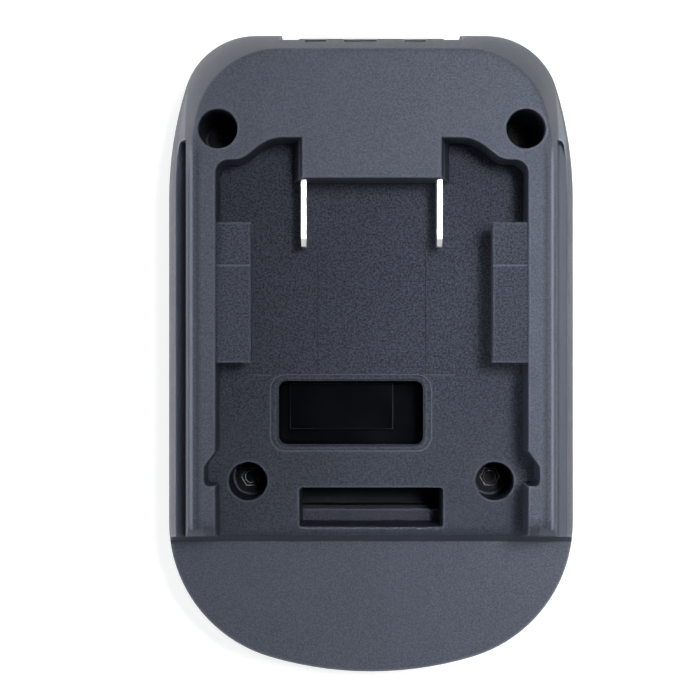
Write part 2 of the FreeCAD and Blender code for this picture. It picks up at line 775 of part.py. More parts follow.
for side, sign in SIDES.items():
    openings.append(block(f"port_corner_{side}", across(sign, "port_half - port_corner", "port_half"),
                          ("port_corner_y", "rear_y + past"), ("port_top_z - lift", "port_corner_z")))
for name, half in CLIPS.items():
    openings.append(block(f"vent_{name}", (f"{name}_x - {half}", f"{name}_x + {half}"),
                          ("vent_y", "vent_y + vent_wide"), ("vent_low_z", past_top)))
for side, sign in SIDES.items():
    blade_in = "blade_x - blade_thick / 2 - blade_slot_gap"
    blade_out = "blade_x + blade_thick / 2 + blade_slot_gap"
    openings.append(block(f"blade_slot_{side}", across(sign, blade_in, blade_out),
                          ("block_front_y - past", f"{rear_room_front} + lift"),
                          ("blade_low_z - blade_slot_gap", "blade_high_z + blade_slot_gap")))
    openings.append(rod(f"retainer_pilot_{side}", mirrored_x(sign, "retainer_screw_x"),
                        retainer_middle_y,
                        ("retainer_high_z - lift", "retainer_low_z + small_screw_length + inner_gap"),
                        "small_screw_radius + thread_gap"))
opened = cut("shell_opened", walled, openings)


def between(box, x, y, z):
    """Whether a bounding box lies between two places on each axis, in millimetres."""
    lows = (box.XMin - x[0], box.YMin - y[0], box.ZMin - z[0])
    highs = (x[1] - box.XMax, y[1] - box.YMax, z[1] - box.ZMax)
    return min(lows + highs) > -SAME


def level_edge(edge, level):
    return edge.BoundBox.ZLength < SAME and abs(edge.BoundBox.ZMin - value(level)) < SAME


def upright_edge(edge):
    return edge.BoundBox.XLength + edge.BoundBox.YLength < SAME


def tunnel_edge(edge):
    return edge.Curve.TypeId == "Part::GeomCircle" and abs(edge.Curve.Radius - value("tunnel_radius")) < 0.001


# Small rounds on the edges that hands and battery meet: the tray's rim and front ends, the mouths in its
# floor and the tabs
def tray_rim(edge):
    box = edge.BoundBox
    notch_x, notch_y, level = value("tray_half + catch_depth"), value("catch_end_y"), value("top_z")
    rim = between(box, (-notch_x, notch_x), (notch_y, value("tray_rear_y")), (level, level))
    on_wall = abs(abs(box.XMin) - value("tray_half")) + box.XLength < SAME
    front_end = on_wall and box.YMax < notch_y + SAME and box.ZMax > value("rim_z")
    return rim or front_end and not upright_edge(edge)


def floor_mouth(edge):
    half, level = value("recess_half"), value("tray_floor_z")
    recess = between(edge.BoundBox, (-half, half), (value("recess_front_y"), value("recess_rear_y")),
                     (level, level))
    return recess or level_edge(edge, "tray_floor_z") and tunnel_edge(edge)


def tab_edge(edge):
    box = edge.BoundBox
    inner, outer, high = value("tab_in"), value("tray_half"), value("tab_top_z")
    across_tab = (inner, outer) if box.XMin > 0 else (-outer, -inner)
    on_tab = between(box, across_tab, (value("tab_front_y"), value("tab_rear_y")),
                     (value("tab_top_z - tab_thick"), high))
    if not on_tab or box.YLength > SAME or abs(box.YMin - value("tab_step_y")) < SAME:
        return False
    top_across = box.ZLength < SAME and box.ZMin > value("tab_top_z - tab_thick / 2")
    return top_across or upright_edge(edge) and abs(abs(box.XMin) - inner) < SAME


rims = rounded_edges("shell_rims", opened, "rim_edge_round", tray_rim)
mouths = rounded_edges("shell_mouths", rims, "mouth_edge_round", floor_mouth)
tunnel_tops = rounded_edges("shell_tunnel_tops", mouths, "tab_edge_round",
                            lambda edge: level_edge(edge, "top_z") and tunnel_edge(edge))
parts["battery_side_shell"] = rounded_edges("battery_side_shell", tunnel_tops, "tab_edge_round", tab_edge)

# Tool-side shell: a plate that closes the body, with a T-shaped rail under it
plate = lofted("plate", [
    inset_outline("plate_low_outline", "seat_z", "skirt_inset + plate_lean"),
    inset_outline("plate_high_outline", "split_z", "skirt_inset"),
], True)
neck = block("rail_neck", ("-neck_half", "neck_half"), ("rail_front_y", "rail_rear_y"),
             ("flange_thick - lift", "seat_z + lift"))
flange = prism("rail_flange", "XY", [
    ("-flange_half", "rail_front_y"), ("flange_half", "rail_front_y"),
    ("flange_half", "rail_rear_y - rail_lead"),
    ("flange_half - rail_lead", "rail_rear_y"), ("-flange_half + rail_lead", "rail_rear_y"),
    ("-flange_half", "rail_rear_y - rail_lead"),
], ("0", "flange_thick"))
tool_solids = [plate, neck, flange]
for side, sign in SIDES.items():
    tool_solids.append(rod(f"rear_post_{side}", mirrored_x(sign, "rear_screw_x"), "rear_screw_y",
                           ("split_z - lift", "rear_seat_z - seat_thick - running_gap"), "post_radius"))
tool_form = joined("tool_form", tool_solids)
rail_room_rear = "holder_front_y - wall"
front_room_half = "front_screw_x - post_radius - inner_gap"
through_plate = ("flange_thick - lift", "split_z + past")
tool_hollows = [
    block("rail_room", ("-neck_half + wall", "neck_half - wall"),
          ("front_screw_y + post_radius", rail_room_rear), through_plate),
    block("rail_room_front", (f"-({front_room_half})", front_room_half),
          ("rail_front_y + wall", "front_screw_y + post_radius + lift"), through_plate),
    block("tool_port", ("-port_half", "port_half"), (rail_room_rear + " - lift", "rear_y + past"),
          through_plate),
    block("hook_slot", ("-hook_half - guide_gap", "hook_half + guide_gap"),
          ("hook_front_y - guide_gap", "hook_rear_y + guide_gap"), ("seat_z - past", "split_z + past")),
    block("finger_notch", ("-button_port_half", "button_port_half"), (past_front, "finger_rear_y"),
          ("seat_z - past", "split_z + past")),
]
for side, sign in SIDES.items():
    x = mirrored_x(sign, "front_screw_x")
    tool_hollows.append(rod(f"boss_seat_{side}", x, "front_screw_y",
                            ("front_seat_z - seat_thick - running_gap", "split_z + past"),
                            "tunnel_radius + boss_wall + running_gap"))
    tool_hollows.append(rod(f"front_pilot_{side}", x, "front_screw_y",
                            ("front_seat_z - screw_length - running_gap", "split_z + past"),
                            "screw_radius + thread_gap"))
    tool_hollows.append(rod(f"rear_pilot_{side}", mirrored_x(sign, "rear_screw_x"), "rear_screw_y",
                            ("rear_seat_z - screw_length - running_gap", "rear_seat_z + past"),
                            "screw_radius + thread_gap"))
tool_open = cut("tool_open", tool_form, tool_hollows)
BOARD_SCREWS = {
    f"{end}_{side}": (mirrored_x(sign, "board_screw_x"), f"board_screw_{end}_y")
    for end in ("front", "rear") for side, sign in SIDES.items()
}
board_posts = [
    rod(f"board_post_{name}", x, y, ("flange_thick - 2 * lift", "board_low_z"), "small_boss_radius")
    for name, (x, y) in BOARD_SCREWS.items()
]
board_pilots = [
    rod(f"board_pilot_{name}", x, y, ("board_top_z - small_screw_length - running_gap", "board_low_z + lift"),
        "small_screw_radius + thread_gap")
    for name, (x, y) in BOARD_SCREWS.items()
]
tool_posted = joined("tool_posted", [tool_open] + board_posts)
parts["tool_side_shell"] = cut("tool_side_shell", tool_posted, board_pilots)

# Terminal holder in the rear port: a tower with an ear plate and a slot for each clip
tower = block("holder_tower", ("-holder_half", "holder_half"), ("holder_front_y", "holder_rear_y"),
              ("flange_thick", "holder_top_z"))
ears = block("holder_ears", ("-port_half + running_gap", "port_half - running_gap"),
             ("ear_front_y", "ear_rear_y"), ("flange_thick", "port_top_z - running_gap"))
holder_cuts = []
for name, half in CLIPS.items():
    x = f"{name}_x"
    holder_cuts.append(block(f"{name}_slot",
                             (f"{x} - clip_half - running_gap", f"{x} + clip_half + running_gap"),
                             ("holder_front_y - past", "holder_rear_y + past"),
                             ("clip_low_z - running_gap", "clip_high_z + running_gap")))
    holder_cuts.append(block(f"{name}_channel", (f"{x} - {half}", f"{x} + {half}"),
                             ("holder_rear_y - channel_depth", "holder_rear_y + past"),
                             ("clip_low_z - running_gap", "holder_top_z + past")))
parts["terminal_holder"] = cut("terminal_holder", joined("holder_form", [tower, ears]), holder_cuts)


def output_clip(name):
    """A forked clip of sheet metal with a pin that rises to the board."""
    x = f"{name}_x"
    span = ("clip_low_z", "clip_high_z")
    base_y = ("holder_front_y + wall", "holder_front_y + wall + clip_base")
    pieces = [block(f"{name}_clip_base", (f"{x} - clip_half", f"{x} + clip_half"), base_y, span)]
    for leaf, sign in SIDES.items():
        ends = (f"{x} + {sign} * (clip_half - clip_leaf)", f"{x} + {sign} * clip_half")
        pieces.append(block(f"{name}_clip_leaf_{leaf}", ends if sign > 0 else ends[::-1],
                            ("holder_front_y + wall + clip_base - lift", "clip_rear_y"), span))
    tail = (f"{x} - clip_leaf / 2", f"{x} + clip_leaf / 2")
    pieces.append(block(f"{name}_clip_tail", tail, ("clip_pin_y", "holder_front_y + wall + lift"), span))
    pieces.append(block(f"{name}_clip_pin", tail, ("clip_pin_y", "clip_pin_y + clip_pin_wide"),
                        ("clip_high_z - lift", "board_low_z")))
    return joined(f"{name}_output_clip", pieces)


for name in CLIPS:
    parts[f"{name}_output_clip"] = output_clip(name)

# Input blades stand on edge in the tray, and their legs turn down behind the tray's rear wall
for name, sign in (("positive", -1), ("negative", 1)):
    parts[f"{name}_input_blade"] = prism(f"{name}_input_blade", "YZ", [
        ("blade_tip_y", "blade_low_z + blade_bevel"), ("blade_tip_y + blade_bevel", "blade_low_z"),
        ("blade_leg_front_y", "blade_low_z"), ("blade_leg_front_y", "blade_leg_low_z"),
        ("blade_leg_rear_y", "blade_leg_low_z"), ("blade_leg_rear_y", "blade_high_z"),
        ("blade_tip_y + blade_bevel", "blade_high_z"), ("blade_tip_y", "blade_high_z - blade_bevel"),
    ], across(sign, "blade_x - blade_thick / 2", "blade_x + blade_thick / 2"))

# Retainer bar that clamps the two legs
retainer_y = (f"{rear_room_front} + running_gap", f"{rear_room_front} + retainer_deep")
retainer_cuts = []
for side, sign in SIDES.items():
    retainer_cuts.append(block(f"leg_slot_{side}", across(sign, blade_in, blade_out),
                               ("blade_leg_front_y - blade_slot_gap", "blade_leg_rear_y + blade_slot_gap"),
                               ("retainer_low_z - past", "retainer_high_z + past")))
    retainer_cuts.append(rod(f"retainer_hole_{side}", mirrored_x(sign, "retainer_screw_x"),
                             retainer_middle_y, ("retainer_low_z - past", "retainer_high_z + past"),
                             "small_screw_radius + screw_hole_gap"))
retainer_bar = block("retainer_bar", ("-retainer_half", "retainer_half"), retainer_y,
                     ("retainer_low_z", "retainer_high_z"))
parts["blade_retainer"] = cut("blade_retainer", retainer_bar, retainer_cuts)

# Circuit board and its parts
board_blank = block("board_blank", ("-board_half", "board_half"), ("board_front_y", "board_rear_y"),
                    ("board_low_z", "board_top_z"))
parts["circuit_board"] = cut("circuit_board", board_blank, [
    rod(f"board_hole_{name}", x, y, ("board_low_z - past", "board_top_z + past"),
        "small_screw_radius + screw_hole_gap")
    for name, (x, y) in BOARD_SCREWS.items()
])


def on_board(name, x, y, wide, deep, high):
    return block(name, (f"{x} - {wide} / 2", f"{x} + {wide} / 2"), (f"{y} - {deep} / 2", f"{y} + {deep} / 2"),
                 ("board_top_z", f"board_top_z + {high}"))


cover_middle_x = "(cover_left + cover_right) / 2"
cover_middle_y = "(cover_front_y + cover_rear_y) / 2"
parts["power_transistors"] = grouped("power_transistors", [
    on_board(f"transistor_{side}", f"{cover_middle_x} + {sign} * transistor_pitch / 2", cover_middle_y,
             "transistor_wide", "transistor_deep", "transistor_high")
    for side, sign in SIDES.items()
])
parts["control_chip"] = on_board("control_chip", "chip_x", "chip_y", "chip_size", "chip_size", "chip_high")
parts["chip_resistors"] = grouped("chip_resistors", [
    on_board(f"resistor_{i}", f"resistor_x + {i} * resistor_pitch", "resistor_y",
             "resistor_wide", "resistor_long", "resistor_high")
    for i in range(int(SIZES["resistor_count"]))
])
parts["board_capacitor"] = rod("board_capacitor", "capacitor_x", "capacitor_y",
                               ("board_top_z", "board_top_z + capacitor_high"), "capacitor_radius")

# Black cover: a hollow cap over the transistors with a sheet round it that fills the window
cover_shell = block("cover_cap", ("cover_left", "cover_right"), ("cover_front_y", "cover_rear_y"),
                    ("board_top_z", "cover_top_z"))
cover_sheet = block("cover_sheet", ("window_left - sheet_side", "window_right + sheet_side"),
                    ("window_front_y - sheet_end", "window_rear_y + sheet_end"),
                    ("sheet_low_z", "sheet_low_z + cover_wall"))
cover_hollow = block("cover_hollow", ("cover_left + cover_wall", "cover_right - cover_wall"),
                     ("cover_front_y + cover_wall", "cover_rear_y - cover_wall"),
                     ("board_top_z - lift", "cover_top_z - cover_wall"))
parts["inner_cover"] = cut("inner_cover", joined("cover_form", [cover_shell, cover_sheet]), [cover_hollow])


def screw(name, x, y, seat, radius, length, head, head_high, upward=False):
    """A pan-head screw with a round socket. An upward one points up, with its head below."""
    way = -1 if upward else 1

    def span(low, high):
        ends = (f"{seat} + {way} * ({low})", f"{seat} + {way} * ({high})")
        return ends[::-1] if upward else ends

    solids = [rod(name + "_shank", x, y, span(f"-({length})", "lift"), radius),
              rod(name + "_head", x, y, span("0", head_high), head)]
    return solids, span


case_screws = []
for name, (x, y, seat, mouth) in SCREWS.items():
    solids, span = screw(f"case_screw_{name}", x, y, seat, "screw_radius", "screw_length",
                         "screw_head_radius", "screw_head_high")
    solids.append(rod(f"case_screw_{name}_crown", x, y, span("screw_head_high - lift",
                                                             "screw_head_high + screw_crown_high"),
                      "screw_crown_radius"))
    top_of_head = "screw_head_high + screw_crown_high"
    socket = rod(f"case_screw_{name}_socket", x, y,
                 span(f"{top_of_head} - screw_socket_deep", f"{top_of_head} + past"), "screw_socket_radius")
    hexagon = doc.addObject("Part::Prism", f"case_screw_{name}_hexagon")
    hexagon.Polygon = 6
    hexagon.setExpression("Circumradius", bound("screw_hex_radius"))
    hexagon.setExpression("Height", bound("screw_hex_deep + past"))
    for axis, place in zip("xyz", (x, y, f"{seat} + {top_of_head} - screw_hex_deep")):
        hexagon.setExpression(f"Placement.Base.{axis}", bound(place))
    screw_form = joined(f"case_screw_{name}_form", solids)
    case_screws.append(cut(f"case_screw_{name}", screw_form, [socket, hexagon]))
parts["case_screws"] = grouped("case_screws", case_screws)

parts["board_screws"] = grouped("board_screws", [
    joined(f"board_screw_{name}", screw(f"board_screw_{name}", x, y, "board_top_z", "small_screw_radius",
                                        "small_screw_length", "small_head_radius", "small_head_high")[0])
    for name, (x, y) in BOARD_SCREWS.items()
])
parts["retainer_screws"] = grouped("retainer_screws", [
    joined(f"retainer_screw_{side}", screw(
        f"retainer_screw_{side}", mirrored_x(sign, "retainer_screw_x"), retainer_middle_y, "retainer_low_z",
        "small_screw_radius", "small_screw_length", "small_head_radius", "small_head_high", True)[0])
    for side, sign in SIDES.items()
])

# Latch: a carriage with the hook under it and an arm out to the button
carriage = block("latch_carriage", ("-carriage_half", "carriage_half"), ("carriage_front_y", "hook_rear_y"),
                 ("latch_z", "latch_z + carriage_thick"))
hook = prism("latch_hook", "YZ", [
    ("hook_front_y", "hook_low_z"), ("hook_front_y + hook_flat", "hook_low_z"),
    ("hook_rear_y", "hook_low_z + hook_ramp"), ("hook_rear_y", "latch_z + lift"),
    ("hook_front_y", "latch_z + lift"),
], ("-hook_half", "hook_half"))
arm = block("latch_arm", ("-arm_half", "arm_half"), ("button_rear_y", "carriage_front_y + lift"),
            ("button_low_z", "button_low_z + arm_thick"))
shield_y = "port_wall_y + port_wall + guide_gap"
shield = block("latch_shield", ("-shield_half", "shield_half"), (shield_y, f"{shield_y} + shield_thick"),
               ("button_low_z", "chin_under_z - latch_travel - guide_gap"))
tongue_low = "button_low_z + (arm_thick - tongue_thick) / 2"
tongue_z = (tongue_low, f"{tongue_low} + tongue_thick")
tongue = block("latch_tongue", ("-tongue_half", "tongue_half"),
               ("button_rear_y - tongue_deep", "button_rear_y + lift"), tongue_z)
pockets = [
    rod(f"spring_pocket_{side}", mirrored_x(sign, "spring_x"), "spring_y",
        ("latch_z + spring_seat", "latch_z + carriage_thick + past"), "spring_radius + guide_gap")
    for side, sign in SIDES.items()
]
latch_form = joined("latch_form", [carriage, hook, arm, shield, tongue])
parts["latch_slide"] = cut("latch_slide", latch_form, pockets)

button_cap = prism("button_cap", "YZ", [
    ("button_rear_y", "button_low_z"), ("button_rear_y", "button_low_z + button_high", "button_round"),
    ("button_front_y + button_rib", "button_low_z + button_high", "button_round"),
    ("button_front_y + button_rib", "button_low_z", "button_round"),
], ("-button_half", "button_half"))
button_ribs = []
for i in range(int(SIZES["button_rib_count"])):
    rib_z = f"button_low_z + button_high / 2 + ({i} - (button_rib_count - 1) / 2) * button_rib_pitch"
    button_ribs.append(prism(f"button_rib_{i}", "YZ", [
        ("button_front_y + button_rib + lift", f"{rib_z} - button_rib"), ("button_front_y", rib_z),
        ("button_front_y + button_rib + lift", f"{rib_z} + button_rib"),
    ], ("-button_half + button_round", "button_half - button_round")))
button_slot = block("button_slot", ("-tongue_half - running_gap", "tongue_half + running_gap"),
                    ("button_rear_y - tongue_deep - running_gap", "button_rear_y + past"),
                    (f"{tongue_low} - running_gap", f"{tongue_low} + tongue_thick + running_gap"))
parts["latch_button"] = cut("latch_button", joined("button_form", [button_cap] + button_ribs), [button_slot])

for side, sign in SIDES.items():
    spring_z = ("latch_z + spring_seat", "chin_under_z")
    x = mirrored_x(sign, "spring_x")
    parts[f"latch_spring_{side}"] = cut(f"latch_spring_{side}", rod(
        f"spring_form_{side}", x, "spring_y", spring_z, "spring_radius"),
        [rod(f"spring_bore_{side}", x, "spring_y", (spring_z[0] + " - lift", "chin_under_z + lift"),
             "spring_bore")])


def wire_path(points):
    """Straight runs joined by tangent arcs, each as large as its two runs allow."""
    edges = []
    radii = []
    start = points[0]
    for before, corner, after in zip(points, points[1:], points[2:]):
        into = (corner - before).normalize()
        out = (after - corner).normalize()
        turn = into.getAngle(out)
        reach = 0.45 * min((corner - before).Length, (after - corner).Length)
        radius = reach / math.tan(turn / 2)
        first = corner - into * reach
        last = corner + out * reach
        middle_way = (out - into).normalize()
        middle = corner + middle_way * (radius / math.cos(turn / 2) - radius)
        edges.append(Part.LineSegment(start, first).toShape())
        edges.append(Part.Arc(first, middle, last).toShape())
        radii.append(round(radius, 2))
        start = last
    edges.append(Part.LineSegment(start, points[-1]).toShape())
    return Part.Wire(edges), radii


def blade_wire(name, sign):
    """A lead from a blade's leg, stepping forward over the board and down to it."""
    x = sign * value("blade_x")
    leg_y = value("(blade_leg_front_y + blade_leg_rear_y) / 2")
    pad_y = leg_y - value("wire_shift")
    high, low = value("blade_leg_low_z"), value("board_top_z")
    run = value("wire_end_run")
    path, radii = wire_path([Vector(x, leg_y, high), Vector(x, leg_y, high - run),
                             Vector(x, pad_y, low + run), Vector(x, pad_y, low)])
    section = Part.Wire([Part.Circle(Vector(x, leg_y, high), UP, value("wire_diameter / 2")).toShape()])
    piece = doc.addObject("Part::Feature", name)
    piece.Shape = path.makePipeShell([section], True, False)
    piece.Placement = FreeCAD.Placement()
    expected = math.pi * value("wire_diameter / 2") ** 2 * path.Length
    print(name, "arc radii", radii, "volume over section times length",
          round(piece.Shape.Volume / expected, 4))
    return piece


for name, sign in (("positive", -1), ("negative", 1)):
    parts[f"{name}_wire"] = blade_wire(f"{name}_wire", sign)

doc.recompute()
for thing in doc.Objects:
    if {"Invalid", "Error"} & set(thing.State):
        raise RuntimeError(f"{thing.Name} failed: {thing.State}")
for label, piece in parts.items():
    piece.Label = label
    if piece.Shape.isNull() or not piece.Shape.isValid() or not piece.Shape.Solids:
        raise RuntimeError(f"{label} has no valid solid")
    piece.Shape.exportStep(f"parts/{label}.step")
    box = piece.Shape.BoundBox
    print(f"{label}: {len(piece.Shape.Solids)} solid(s), {piece.Shape.Volume:.0f} mm3, "
          f"x {box.XMin:.2f} {box.XMax:.2f}, y {box.YMin:.2f} {box.YMax:.2f}, "
          f"z {box.ZMin:.2f} {box.ZMax:.2f}")
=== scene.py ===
# %% [markdown]
# # Finishing a battery adapter
#
# The adapter is a moulded tray between a slide-on battery and a cordless tool. Its pieces come from the
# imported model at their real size, so this lesson never moves them. It gives each one the surface that the
# real piece has, winds the two latch springs, and sets up a camera straight above the tray.

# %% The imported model
import math

import bmesh
import bpy
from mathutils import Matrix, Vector


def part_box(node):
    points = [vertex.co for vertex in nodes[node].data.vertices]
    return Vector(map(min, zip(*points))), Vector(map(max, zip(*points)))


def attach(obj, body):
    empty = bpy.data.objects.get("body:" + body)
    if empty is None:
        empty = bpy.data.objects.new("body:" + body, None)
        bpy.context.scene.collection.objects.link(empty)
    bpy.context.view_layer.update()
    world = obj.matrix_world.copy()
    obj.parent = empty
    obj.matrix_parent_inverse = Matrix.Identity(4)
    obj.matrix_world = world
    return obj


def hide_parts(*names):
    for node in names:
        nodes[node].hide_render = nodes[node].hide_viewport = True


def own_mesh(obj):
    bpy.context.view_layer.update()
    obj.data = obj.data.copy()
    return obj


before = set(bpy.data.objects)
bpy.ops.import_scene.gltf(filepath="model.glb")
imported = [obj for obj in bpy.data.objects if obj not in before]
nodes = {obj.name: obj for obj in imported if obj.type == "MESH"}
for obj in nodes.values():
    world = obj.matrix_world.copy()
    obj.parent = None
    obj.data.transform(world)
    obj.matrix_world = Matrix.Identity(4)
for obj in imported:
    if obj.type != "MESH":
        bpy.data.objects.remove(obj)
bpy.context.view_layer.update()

MM = 0.001

# %% [markdown]
# ## Small helpers for node trees
#
# A material here is a short list of nodes and links. One helper adds a node and sets its plain values, and a
# second makes a shader node group with named sockets, so that an effect used by several plastics is built
# once. A group could also be copied by hand into each material, but then a change would be made many times.

# %% Node helpers
def add(tree, kind, **values):
    """Adds a node, sets its properties, and sets or links its inputs by name."""
    node = tree.nodes.new("ShaderNode" + kind)
    for name, value in values.items():
        if hasattr(node, name):
            setattr(node, name, value)
            continue
        socket = node.inputs[name.replace("_", " ")]
        if isinstance(value, bpy.types.NodeSocket):
            tree.links.new(value, socket)
        else:
            socket.default_value = value
    return node


def math_node(tree, operation, first, second=None, third=None, clamp=False):
    """A Math node whose inputs are numbers or sockets, and its output."""
    node = tree.nodes.new("ShaderNodeMath")
    node.operation = operation
    node.use_clamp = clamp
    for socket, value in zip(node.inputs, (first, second, third)):
        if isinstance(value, bpy.types.NodeSocket):
            tree.links.new(value, socket)
        elif value is not None:
            socket.default_value = value
    return node.outputs[0]


def product(tree, first, *others):
    """The product of sockets and numbers."""
    for other in others:
        first = math_node(tree, "MULTIPLY", first, other)
    return first


def greatest(tree, first, *others):
    """The greatest of several sockets."""
    for other in others:
        first = math_node(tree, "MAXIMUM", first, other)
    return first


def mixed_colour(tree, factor, first, second):
    """Mixes two colours by a factor, each a value or a socket."""
    node = tree.nodes.new("ShaderNodeMix")
    node.data_type = "RGBA"
    for socket, value in ((node.inputs[0], factor), (node.inputs[6], first), (node.inputs[7], second)):
        if isinstance(value, bpy.types.NodeSocket):
            tree.links.new(value, socket)
        else:
            socket.default_value = value
    return node.outputs[2]


def ranged(tree, value, low, high, to_low, to_high):
    """Maps a value from one range to another, clamped at both ends."""
    node = tree.nodes.new("ShaderNodeMapRange")
    tree.links.new(value, node.inputs[0])
    for socket, number in zip(node.inputs[1:5], (low, high, to_low, to_high)):
        socket.default_value = number
    return node.outputs[0]


def group(name, inputs, outputs):
    """A shader node group with its own sockets. Inputs map a name to a default number."""
    tree = bpy.data.node_groups.new(name, "ShaderNodeTree")
    for label, default in inputs.items():
        socket = tree.interface.new_socket(label, in_out="INPUT", socket_type="NodeSocketFloat")
        socket.default_value = default
    for label, kind in outputs.items():
        tree.interface.new_socket(label, in_out="OUTPUT", socket_type="NodeSocket" + kind)
    return tree, tree.nodes.new("NodeGroupInput"), tree.nodes.new("NodeGroupOutput")


def placed(tree, group_tree, **values):
    """One use of a group in a material, with its own values."""
    node = tree.nodes.new("ShaderNodeGroup")
    node.node_tree = group_tree
    for name, value in values.items():
        socket = node.inputs[name.replace("_", " ")]
        if isinstance(value, bpy.types.NodeSocket):
            tree.links.new(value, socket)
        else:
            socket.default_value = value
    return node


def material(name):
    """A new node material and its Principled shader."""
    made = bpy.data.materials.new(name)
    made.use_nodes = True
    return made, made.node_tree, made.node_tree.nodes["Principled BSDF"]


def rgb(red, green, blue):
    return (red, green, blue, 1.0)


# %% [markdown]
# ## Spark grain
#
# A mould's walls are roughened with sparks, so moulded plastic shows a fine, even grain of a few tenths of a
# millimetre. The group makes it from two noise textures measured in millimetres. It gives a height for the
# bump and a speckle for the tone, because the pits of a real grain look darker than its tops. An image of grain
# would do too, but it would need unwrapping and would show seams.

# %% Spark grain group
FINE_RATIO = 2.7
FINE_SHARE = 0.35
MEAN_HEIGHT = 0.5 * (1 + FINE_SHARE)

grain_group, grain_in, grain_out = group(
    "Spark grain", {"Size mm": 0.45, "Depth": 1.0}, {"Height": "Float", "Speckle": "Float"})
position = add(grain_group, "TexCoord").outputs["Object"]
per_metre = math_node(grain_group, "DIVIDE", 1 / MM, grain_in.outputs["Size mm"])
coarse = add(grain_group, "TexNoise", Vector=position, Scale=per_metre, Detail=2.0, Roughness=0.55)
fine_scale = product(grain_group, per_metre, FINE_RATIO)
fine = add(grain_group, "TexNoise", Vector=position, Scale=fine_scale, Detail=1.0, Roughness=0.5)
summed = math_node(grain_group, "MULTIPLY_ADD", fine.outputs["Fac"], FINE_SHARE, coarse.outputs["Fac"])
centred = math_node(grain_group, "SUBTRACT", summed, MEAN_HEIGHT)
grain_group.links.new(product(grain_group, centred, grain_in.outputs["Depth"]), grain_out.inputs["Height"])
grain_group.links.new(ranged(grain_group, summed, 0.50, 0.85, 0.0, 1.0), grain_out.inputs["Speckle"])
print("spark grain:", len(grain_group.nodes), "nodes")

# %% [markdown]
# ## Soft edges
#
# No moulded edge is knife sharp. The Bevel node bends the normal over the last fraction of a millimetre, so the
# edge catches light without any new geometry. Its difference from the true normal marks the edges, which some
# materials lighten, partly as wear from handling and partly as a painted highlight. A real bevel modifier would
# change the meshes, which stay as packed.

# %% Soft edge group
edge_group, edge_in, edge_out = group("Soft edge", {"Radius mm": 0.3}, {"Normal": "Vector", "Edge": "Float"})
rounded = add(edge_group, "Bevel", samples=4, Radius=product(edge_group, edge_in.outputs["Radius mm"], MM))
facing = add(edge_group, "VectorMath", operation="DOT_PRODUCT")
edge_group.links.new(rounded.outputs["Normal"], facing.inputs[0])
edge_group.links.new(add(edge_group, "NewGeometry").outputs["Normal"], facing.inputs[1])
edge_group.links.new(rounded.outputs["Normal"], edge_out.inputs["Normal"])
edge_group.links.new(ranged(edge_group, facing.outputs["Value"], 0.99, 0.78, 0.0, 1.0), edge_out.inputs["Edge"])
print("soft edge:", len(edge_group.nodes), "nodes")

# %% [markdown]
# ## Wear, painted highlights and painted crease shade
#
# Outer corners rub bare and are also lightened as a painted highlight, and creases are darkened as painted
# shade.
# Ambient occlusion finds both: measured inside the solid it is dark near an outer corner, and measured outside
# it is dark in a crease. The group turns each into a mask, over a reach in millimetres. It's slower than a
# painted mask, but it needs no painting and follows the shape.

# %% Wear, highlight and crease shade group
wear_group, wear_in, wear_out = group(
    "Edge highlight and crease shade", {"Edge mm": 0.6, "Crease mm": 0.5}, {"Wear and highlight": "Float", "Crease": "Float"})
inner = add(wear_group, "AmbientOcclusion", samples=4, inside=True, only_local=True,
            Distance=product(wear_group, wear_in.outputs["Edge mm"], MM))
outer = add(wear_group, "AmbientOcclusion", samples=4, only_local=True,
            Distance=product(wear_group, wear_in.outputs["Crease mm"], MM))
wear_group.links.new(ranged(wear_group, inner.outputs["AO"], 0.93, 0.50, 0.0, 1.0), wear_out.inputs["Wear and highlight"])
wear_group.links.new(ranged(wear_group, outer.outputs["AO"], 0.97, 0.60, 0.0, 1.0), wear_out.inputs["Crease"])
print("wear and crease:", len(wear_group.nodes), "nodes")

# %% [markdown]
# ## Cloudiness
#
# Pigment never spreads quite evenly in a large moulding. A broad noise gives that slow drift, and the plastics
# below use it for tone and for roughness, so that a large face doesn't reflect like a sheet of glass.

# %% Cloudiness group
cloud_group, cloud_in, cloud_out = group("Cloudiness", {"Size mm": 18.0}, {"Amount": "Float"})
cloud = add(cloud_group, "TexNoise", Vector=add(cloud_group, "TexCoord").outputs["Object"], Detail=3.0,
            Roughness=0.6, Scale=math_node(cloud_group, "DIVIDE", 1 / MM, cloud_in.outputs["Size mm"]))
drift = ranged(cloud_group, cloud.outputs["Fac"], 0.3, 0.7, 0.0, 1.0)
cloud_group.links.new(drift, cloud_out.inputs["Amount"])
print("groups:", [g.name for g in bpy.data.node_groups])

# %% [markdown]
# ## The shell's plastic: where each finish lies
#
# The tray that the battery slides into is coarsely grained, while the plateau and the chin are almost smooth.
# Both are one moulding, so one material tells them apart by place. Object coordinates are the model's own
# metres, so the bands below are plain sizes of the part. The grain is quieter in front of the window, the mould
# lines on the tray's floor get painted shade, the scoops in the flanks get painted light, and a painted
# highlight runs along both edges of the plateau with a strip of painted shade beside it. Painted vertex colours
# could hold these areas too, but they would need a finer mesh.

# %% Shell places
BANDS = {
    "tray_x": (-29.9, 29.9, 0.1), "tray_y": (-33.6, 38.6, 0.3), "tray_z": (12.0, 43.6, 0.1),
    "scoop_x": (33.6, 35.5, 0.2), "scoop_z": (31.0, 43.4, 0.3),
    "plateau_y": (-32.5, 37.0, 1.5), "edge_highlight_x": (31.95, 32.35, 0.2), "shaded_strip_x": (30.6, 31.5, 0.4),
}
RAMPS = {
    "quiet_y": (-14.0, -4.0), "floor_z": (29.6, 30.0), "lines_y": (-3.8, -3.7),
    "scoop_painted_light_x": (-35.4, -33.8), "plateau_z": (43.0, 43.4),
}


def ramp(tree, value, name, start, end):
    """Goes from start to end over a named ramp, given in millimetres."""
    low, high = (size * MM for size in RAMPS[name])
    return ranged(tree, value, low, high, start, end)


